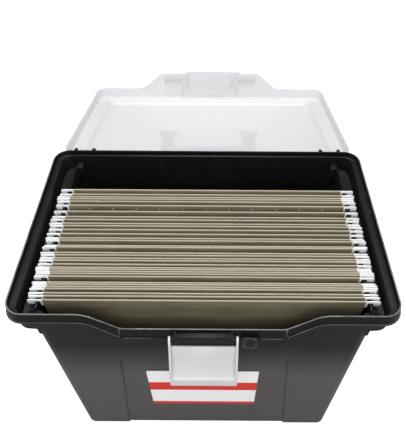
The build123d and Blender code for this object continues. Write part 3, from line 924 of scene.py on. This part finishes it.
open_with_lid(lid)
smooth(lid)
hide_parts("lid")
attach(lid, "lid")
print("finished lid:", len(lid.data.vertices), "vertices")

# %% [markdown]
# ## The carry handle
# The handle is a flat U that folds down on the dome. It starts as its grip, and the two arms are
# extruded out of one long side of it. The ends of the arms are rounded to a half circle for the pivot.

# %% Carry handle
HANDLE_HALF_THICK = 3.8
HANDLE_HALF = 65.0
GRIP_NEAR, GRIP_FAR = 49.0, 70.0
GRIP_HALF = 48.0
OUTER_ROUND = 12.0
INNER_ROUND = 6.0
HANDLE_PIN = 2.4
HANDLE_PIN_PLACE = (43.5, 69.5)


def at_corner(edge, x, y):
    """True for an upright edge near one Y and near one X, on either side."""
    at = middle(edge)
    return along(edge, Z) and abs(abs(at.x) - x) < 1 and abs(at.y - y) < 1


def at_arm_end(edge):
    """True for the level edges across the end of an arm."""
    return middle(edge).y < 0.1 - HANDLE_HALF_THICK and not along(edge, Z)


handle = start_box(
    "carry_handle", (-HANDLE_HALF, GRIP_NEAR, HANDLE_Z - HANDLE_HALF_THICK),
    (HANDLE_HALF, GRIP_FAR, HANDLE_Z + HANDLE_HALF_THICK),
)
edit(handle)
for place in (-GRIP_HALF, GRIP_HALF):
    bpy.ops.mesh.select_all(action="SELECT")
    bpy.ops.mesh.bisect(plane_co=(place * MM, 0, 0), plane_no=(1, 0, 0))
pick("FACE", lambda face: face.normal.y < -0.9 and abs(middle(face).x) > GRIP_HALF)
extrude_picked(y=-HANDLE_HALF_THICK - GRIP_NEAR)
done()
round_edges(handle, lambda edge: at_corner(edge, HANDLE_HALF, GRIP_FAR), OUTER_ROUND, 8)
round_edges(handle, lambda edge: at_corner(edge, GRIP_HALF, GRIP_NEAR), INNER_ROUND, 6)
round_edges(handle, at_arm_end, HANDLE_HALF_THICK - 0.1, 6)
soften(handle, 1.6, segments=3, angle=40.0)
handle_parts = [handle]
for side in (-1, 1):
    x0, x1 = sorted(side * place for place in HANDLE_PIN_PLACE)
    pin = start_bar("pin", x0, x1, 0.0, HANDLE_Z, HANDLE_PIN)
    soften(pin, 0.4, segments=1)
    handle_parts.append(pin)
handle = join("carry_handle", handle_parts)
open_with_lid(handle)
smooth(handle)
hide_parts("carry_handle")
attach(handle, "carry_handle")
print("carry handle:", len(handle.data.vertices), "vertices")

# %% [markdown]
# ## The latch
# The latch is drawn standing up from its pivot, at the origin, and is then turned over to hang open. Its
# plate bends a little near the pivot and ends in a small sloping lip, and its cheeks taper towards the lip.

# %% Latch
LATCH_HALF = 32.6
LATCH_TURN = 155.0
LATCH_BORE = 2.55
CHEEK_THICK = 2.2
PLATE_OUTLINE = [
    (-2.6, 8.2), (-0.6, 8.2), (-3.0, 22.2), (-3.25, 24.0), (-3.42, 25.8), (-3.5, 28.0), (-3.5, 47.0),
    (-0.5, 47.0), (-0.5, 47.9), (-4.8, 58.5), (-5.5, 58.5), (-5.5, 28.0), (-5.4, 25.8), (-5.2, 24.0),
    (-4.95, 22.2),
]
LATCH_CHEEK = arc(0.0, 0.0, 3.5, 180, 360, 10) + [
    (2.5, 7.4), (2.5, 34.0), (1.9, 37.0), (-0.5, 46.6), (-5.4, 46.6), (-5.4, 25.0), (-2.6, 8.2),
]
plate = start_plate("latch", PLATE_OUTLINE, -LATCH_HALF, LATCH_HALF)
soften(plate, 0.35)
latch_parts = [plate]
for side in (-1, 1):
    x0, x1 = sorted((side * (LATCH_HALF - CHEEK_THICK), side * LATCH_HALF))
    cheek = start_plate("cheek", LATCH_CHEEK, x0, x1)
    soften(cheek, 0.6, segments=3)
    cut(cheek, start_bar("bore", x0 - 1, x1 + 1, 0.0, 0.0, LATCH_BORE))
    latch_parts.append(cheek)
latch = join("latch", latch_parts)
hang = Matrix.Rotation(math.radians(LATCH_TURN), 4, "X")
latch.data.transform(Matrix.Translation(Vector((0, LATCH_Y, LATCH_Z)) * MM) @ hang)
smooth(latch)
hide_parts("latch")
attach(latch, "latch")
print("latch:", len(latch.data.vertices), "vertices")

# %% [markdown]
# ## The label
# The label is a sheet of coated paper on the recessed panel. It is a box a quarter of a millimetre
# thick with rounded corners, tilted with the wall.

# %% Label
LABEL_LEFT, LABEL_RIGHT = -63.2, 58.5
LABEL_FOOT, LABEL_HEAD = 61.0, 152.2
LABEL_THICK = 0.25
LABEL_GAP = 0.05
front = PANEL_DEPTH - LABEL_GAP - LABEL_THICK
label = start_box(
    "label", (LABEL_LEFT, front, LABEL_FOOT), (LABEL_RIGHT, front + LABEL_THICK, LABEL_HEAD)
)
round_edges(label, lambda edge: along(edge, Y), 1.6, 4)
soften(label, 0.06, segments=1)
lean = Matrix.Rotation(math.atan(WALL_LEAN), 4, "X")
label.data.transform(Matrix.Translation(Vector((0, FOOT_Y, 0)) * MM) @ lean)
smooth(label)
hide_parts("label")
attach(label, "tub")
print("label:", len(label.data.vertices), "vertices")

# %% [markdown]
# ## The hanging folders
# A hanging folder is one sheet of card. Its fold lies at the bottom, and each long edge is turned over
# into a sleeve for a rod. The line of that sheet is drawn in profile from one sleeve to the other. It is
# extruded along the width in short steps, so that the sheet can wave a little between its rods, and a
# solidify modifier gives it the thickness of card.

# %% Folder profile
FOLDERS = [
    (-91.4, -86.9), (-83.7, -78.8), (-76.4, -73.8), (-71.6, -64.5), (-61.2, -58.7),
    (-56.1, -53.9), (-49.9, -45.2), (-42.4, -38.4), (-35.4, -28.3), (-26.3, -19.3),
    (-16.3, -10.4), (-4.6, 0.6), (4.0, 9.5), (13.5, 21.4), (30.4, 36.6),
    (40.3, 43.3), (47.5, 54.6),
]
SLIPS = (0.4, -0.7, 0.9, -0.2, 0.6, -0.9, 0.1) * 3
CARD = 0.35
SLEEVE = 1.5
FOLDER_HEAD = 266.0
FOLDER_FOOT = 31.0
NECK = 252.0
FOLDER_HALF = 149.25
FOLDER_STEPS = 30


def folder_profile(front, back):
    """The middle line of the card, as (y, z) points from the front sleeve to the back one."""
    half = CARD / 2
    far = back + SLEEVE
    centre = (front + far) / 2
    top = FOLDER_HEAD - half
    front_side = [
        (front + SLEEVE - half, NECK + 0.6), (front + SLEEVE - half, top - 0.4),
        (front + SLEEVE - half - 0.35, top), (front + half + 0.35, top), (front + half, top - 0.4),
    ]
    run = [(NECK, 0.0), (210.0, 0.03), (160.0, 0.2), (110.0, 0.45), (70.0, 0.72), (45.0, 0.9)]
    front_side += [(front + half + (centre - 0.9 - front) * share, z) for z, share in run]
    foot = FOLDER_FOOT + 0.9
    fold = [(centre - 0.75, foot), (centre, FOLDER_FOOT + half), (centre + 0.75, foot)]
    back_side = [(2 * centre - y, z) for y, z in reversed(front_side)]
    return front_side + fold + back_side


def wave(x, z, phase):
    """How far the card stands out of its plane, in millimetres: nothing at the rods, most half way."""
    share = max(0.0, (NECK - z) / (NECK - FOLDER_FOOT))
    belly = math.sin(math.pi * min(1.0, share * 1.2)) if share < 0.83 else 0.0
    return 0.5 * belly * (math.sin(x / 41.0 + phase) + 0.4 * math.sin(x / 17.0 + 2.1 * phase))


# %% [markdown]
# A circle gives the points of the profile: one edge is deleted to open it, and every point goes to its
# place. That keeps the card a single open sheet until the solidify modifier thickens it.

# %% Folders
def start_line(name, points, x):
    """An open line through (y, z) points, all of it selected in edit mode."""
    made = place_circle(name, points, x, "NOTHING")
    ends = {0, len(points) - 1}
    pick("EDGE", lambda edge: {vertex.index for vertex in edge.verts} == ends)
    bpy.ops.mesh.delete(type="EDGE")
    bpy.ops.mesh.select_mode(type="VERT")
    bpy.ops.mesh.select_all(action="SELECT")
    return made


def make_folder(number, front, back, slip):
    """One hanging folder."""
    name = f"hanging_folder_{number:02d}"
    card = start_line(name, folder_profile(front, back), slip - FOLDER_HALF)
    for _ in range(FOLDER_STEPS):
        extrude_picked(2 * FOLDER_HALF / FOLDER_STEPS)
    done()
    for vertex in card.data.vertices:
        x, _, z = vertex.co / MM
        vertex.co.y += wave(x, z, 1.7 * number) * MM
    apply_modifier(card, "SOLIDIFY", thickness=CARD * MM, offset=0.0)
    smooth(card, 50.0)
    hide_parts(name)
    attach(card, f"folder_{number:02d}")
    return card


folders = []
for number, ((front, back), slip) in enumerate(zip(FOLDERS, SLIPS), start=1):
    folders.append(make_folder(number, front, back, slip))
print("folders:", len(folders), "with", len(folders[0].data.vertices), "vertices each")

# %% [markdown]
# ## The folder rods
# Each sleeve holds a flat steel rod. Its ends are cut to hooks that drop over the rails, and are dipped
# in white plastic. The outline is drawn once, laid upright, and copied to all the sleeves.

# %% Rods
ROD_TOP = FOLDER_HEAD - CARD - 0.05
ROD_FOOT = ROD_TOP - 9.5
ROD_THICK = 0.7
ROD_HALF = [
    (151.9, ROD_FOOT), (151.9, 262.7), (157.1, 262.7), (157.1, 259.2), (157.9, 258.4), (162.8, 258.4),
    (163.6, 259.2), (163.6, ROD_TOP - 1.9), (163.1, ROD_TOP - 0.6), (161.7, ROD_TOP),
]
ROD_OUTLINE = ROD_HALF + [(-x, z) for x, z in reversed(ROD_HALF)]
SWAP_X_AND_Y = Matrix(((0, 1, 0, 0), (1, 0, 0, 0), (0, 0, 1, 0), (0, 0, 0, 1)))

rod = start_plate("rod", ROD_OUTLINE, 0.0, ROD_THICK)
rod.data.transform(SWAP_X_AND_Y)
rod.data.flip_normals()
soften(rod, 0.18, angle=20.0)
smooth(rod)
rods = []
for number, (faces, slip) in enumerate(zip(FOLDERS, SLIPS), start=1):
    node = f"folder_rods_{number:02d}"
    pair = join(node, [copy_of(rod, "rod_copy", (slip, face + CARD + 0.05, 0)) for face in faces])
    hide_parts(node)
    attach(pair, f"folder_{number:02d}")
    rods.append(pair)
bpy.data.objects.remove(rod)
print("rods:", 2 * len(rods))

# %% [markdown]
# ## Black plastic
# Moulded polypropylene is not one even black. Its faces have a fine grain from the mould, which breaks
# up the gloss, and handling leaves faint scuffs that are a little lighter and duller. The walls carry
# painted shade and a painted floor reflection: they are painted darker near the rim and lighter towards
# the bottom. The rim is shinier than the walls, and the crests of its beads carry a painted highlight.

# %% Black plastic
def black_plastic():
    build = new_build("black_plastic")
    cloud = noise(build, 14.0, 3.0)
    grain = noise(build, 1400.0)
    scuff = ramp(build, noise(build, 60.0, 5.0, (1, 1, 0.15)), 0.62, 0.78)
    # Painted shade and reflection: the walls are painted darker near the rim and lighter towards the floor.
    painted_wall_light = ramp(build, coordinate(build, "Z"), 0.214, 0.146)
    deep = blend_colours(build, cloud, opaque(0.004, 0.004, 0.0042), opaque(0.006, 0.006, 0.0062))
    painted_lit_wall = blend_colours(build, cloud, opaque(0.078, 0.071, 0.072), opaque(0.094, 0.087, 0.088))
    colour = blend_colours(build, painted_wall_light, deep, painted_lit_wall)
    colour = blend_colours(build, scuff * 0.25, colour, opaque(0.05, 0.05, 0.052))
    # Painted highlight: a patchy pale line on the crests of the rim beads.
    patchy = ramp(build, noise(build, 45.0, 3.0), 0.35, 0.7)
    painted_highlight_share = stored(build, "painted_rim_highlight") * (0.35 + patchy * 0.65)
    colour = blend_colours(build, painted_highlight_share, colour, opaque(0.21, 0.21, 0.213))
    return build.surface(
        Base_Color=colour,
        Roughness=0.44 + cloud * 0.08 + scuff * 0.08 - stored(build, "rim") * 0.26,
        Normal=bump(build, grain, 0.10, 0.0004),
        IOR=1.49,
        Specular_IOR_Level=0.18,
    )


# %% [markdown]
# ## Clear plastic
# The lid is natural polypropylene: milky, a little bluish, and dull. Plastic this thin scatters light as
# frosted glass does, so it is drawn as a pale surface that lets some of what is behind it through. Its
# colour drifts softly, and a fine frost breaks up the gloss.

# %% Clear plastic
def clear_plastic():
    build = new_build("clear_plastic")
    cloud = noise(build, 9.0, 3.0)
    frost = noise(build, 900.0)
    colour = blend_colours(build, cloud, opaque(0.61, 0.61, 0.63), opaque(0.65, 0.65, 0.67))
    return build.surface(
        Base_Color=colour,
        Alpha=0.71,
        Roughness=0.24 + frost * 0.08,
        Normal=bump(build, frost, 0.08, 0.0003),
        IOR=1.49,
    )


# %% [markdown]
# ## Grey plastic
# The latch and the handle are light grey plastic with a satin finish and a fine mould grain.

# %% Grey plastic
def grey_plastic():
    build = new_build("grey_plastic")
    cloud = noise(build, 35.0, 3.0)
    grain = noise(build, 1800.0)
    colour = blend_colours(build, cloud, opaque(0.60, 0.61, 0.62), opaque(0.66, 0.67, 0.68))
    return build.surface(
        Base_Color=colour,
        Roughness=0.34 + cloud * 0.04,
        Normal=bump(build, grain, 0.08, 0.0003),
        IOR=1.5,
    )


# %% [markdown]
# ## Label paper
# The label is white paper with two red bands. The bands are steps of the height on the label, read from
# its place, with the faint mottle of ink on paper.

# %% Label paper
BANDS = ((123.5, 102.5), (68.3, 61.0))
BAND_EDGE = 0.3


def label_paper():
    build = new_build("label_paper")
    height = coordinate(build, "Z")
    fibre = noise(build, 700.0, 3.0)
    bands = 0.0
    for top, bottom in BANDS:
        below_top = ramp(build, height, top * MM, (top - BAND_EDGE) * MM)
        above_bottom = ramp(build, height, (bottom - BAND_EDGE) * MM, bottom * MM)
        bands = below_top * above_bottom + bands
    ink = blend_colours(build, fibre, opaque(0.68, 0.028, 0.022), opaque(0.74, 0.04, 0.03))
    paper = blend_colours(build, fibre, opaque(0.97, 0.97, 0.96), opaque(0.93, 0.93, 0.92))
    return build.surface(
        Base_Color=blend_colours(build, bands, paper, ink),
        Roughness=0.42 + fibre * 0.1,
        Normal=bump(build, fibre, 0.06, 0.0002),
        Specular_IOR_Level=0.2,
    )


# %% [markdown]
# ## Folder card
# The card is olive and fibrous. Its fibres run along the width, so the noise is stretched that way. The
# one folder that faces a wide gap shows its row of slots for plastic tabs, an inch apart, as small light
# marks. The tops of the sleeves are painted paler, a painted highlight where the overhead light falls.

# %% Folder card
SLOT_STEP = 25.4
SLOT_HEIGHT = 260.2
SLOT_DEPTH = 30.5
SLEEVE_PAINTED_LIGHT = (264.2, 265.6)


def near(value, place, reach):
    """1 where a place, both in millimetres, is within reach of a value in metres."""
    return value.maths("COMPARE", place * MM, reach * MM)


def folder_card():
    build = new_build("folder_card")
    fibre = noise(build, 220.0, 4.0, (0.12, 1, 1))
    mottle = noise(build, 18.0, 3.0)
    height = coordinate(build, "Z")
    off_slot = coordinate(build, "X").maths("PINGPONG", SLOT_STEP / 2 * MM)
    slot = ramp(build, off_slot, 0.8 * MM, 0.3 * MM)
    slot = slot * near(height, SLOT_HEIGHT, 0.7) * near(coordinate(build, "Y"), SLOT_DEPTH, 2.0)
    # Painted highlight: the tops of the sleeves are painted paler where the overhead lamp lights them.
    painted_sleeve_light = ramp(build, height, SLEEVE_PAINTED_LIGHT[0] * MM, SLEEVE_PAINTED_LIGHT[1] * MM)
    blotch = ramp(build, fibre * 0.6 + mottle * 0.4, 0.35, 0.65)
    colour = blend_colours(build, blotch, opaque(0.108, 0.092, 0.054), opaque(0.166, 0.144, 0.090))
    colour = blend_colours(build, painted_sleeve_light * 0.85, colour, opaque(0.385, 0.35, 0.268))
    colour = blend_colours(build, slot * 0.95, colour, opaque(0.85, 0.82, 0.7))
    return build.surface(
        Base_Color=colour,
        Roughness=0.72 + fibre * 0.15,
        Normal=bump(build, fibre, 0.12, 0.0004),
    )


# %% [markdown]
# ## Rod coating
# The dip coating on the rod ends is white and shiny, a little thick and thin. Further in, the rod is
# bare zinc-plated steel, so the metal share follows the distance from the middle of the box.

# %% Coated rods
COAT_FROM = 143.0


def coated_steel():
    build = new_build("coated_steel")
    off_middle = coordinate(build, "X").maths("ABSOLUTE")
    bare = ramp(build, off_middle, (COAT_FROM + 1) * MM, COAT_FROM * MM)
    brushed = noise(build, 900.0, stretch=(0.05, 1, 1))
    cloud = noise(build, 300.0)
    steel = blend_colours(build, brushed, opaque(0.48, 0.49, 0.5), opaque(0.62, 0.63, 0.64))
    white = blend_colours(build, cloud, opaque(0.88, 0.89, 0.90), opaque(0.94, 0.95, 0.96))
    return build.surface(
        Base_Color=blend_colours(build, bare, white, steel),
        Metallic=bare,
        Roughness=0.3 + brushed * 0.1,
        Normal=bump(build, cloud, 0.1, 0.0003),
    )


# %% [markdown]
# ## Giving out the finishes
# A piece keeps one material.

# %% Finishes
def finish(pieces, material):
    """One material for a list of pieces."""
    for piece in pieces:
        piece.data.materials.clear()
        piece.data.materials.append(material)


finish([tub], black_plastic())
finish([lid], clear_plastic())
finish([handle, latch], grey_plastic())
finish([label], label_paper())
finish(folders, folder_card())
finish(rods, coated_steel())
print("materials:", len(bpy.data.materials))

# %% [markdown]
# ## Floor and light
# A soft lamp overhead, a little behind the box, lights the tops of the folders. A large one in front and
# one at each side fill the walls, and a weak even glow from all around fills the rest. Seen by the camera
# the pale floor has a glow of its own, so that it runs out to white.

# %% Floor
GLOW = 0.85
MIRRORED_GLOW = 0.1

clear_selection()
bpy.ops.mesh.primitive_plane_add(size=8.0, location=(0, 1.0, 0))
floor = settle("floor")

floor_build = new_build("floor_white")
glowing = (ray_is(floor_build, "Camera") + ray_is(floor_build, "Glossy") * MIRRORED_GLOW) * GLOW
mottle = noise(floor_build, 3.0)
floor.data.materials.append(floor_build.surface(
    Base_Color=blend_colours(floor_build, mottle, opaque(0.34, 0.34, 0.34), opaque(0.36, 0.36, 0.36)),
    Roughness=0.9,
    Emission_Color=blend_colours(floor_build, glowing, opaque(0, 0, 0), opaque(1, 1, 1)),
    Emission_Strength=1.0,
))
print("floor:", round(floor.dimensions.x), "metres wide")

# %% World and lamps
AMBIENT = 0.34
world = bpy.data.worlds.new("studio")
bpy.context.scene.world = world
sky = Build(world)
background = sky.tree.nodes["Background"].inputs
sky.put(background["Color"], (1, 1, 1, 1))
sky.put(background["Strength"], ray_is(sky, "Camera") * (1.0 - AMBIENT) + AMBIENT)


def soft_lamp(name, place, aim, size_x, size_y, watts):
    """A rectangular area lamp in metres, turned towards a point."""
    data = bpy.data.lights.new(name, "AREA")
    data.shape = "RECTANGLE"
    data.size = size_x
    data.size_y = size_y
    data.energy = watts
    lamp = bpy.data.objects.new(name, data)
    bpy.context.scene.collection.objects.link(lamp)
    turn = (Vector(aim) - Vector(place)).to_track_quat("-Z", "Y")
    lamp.matrix_world = Matrix.Translation(Vector(place)) @ turn.to_matrix().to_4x4()


soft_lamp("overhead", (0.0, 0.38, 1.85), (0.0, 0.0, 0.2), 0.42, 0.32, 20.0)
for side in (-1, 1):
    soft_lamp("side_fill", (2.0 * side, 0.25, 1.1), (0.0, 0.1, 0.2), 1.4, 1.0, 14.0)
soft_lamp("front_fill", (0.0, -1.45, 1.65), (0.0, 0.0, 0.15), 2.4, 1.3, 34.0)
bpy.context.scene.view_settings.view_transform = "Standard"
print("lamps:", len(bpy.data.lights))
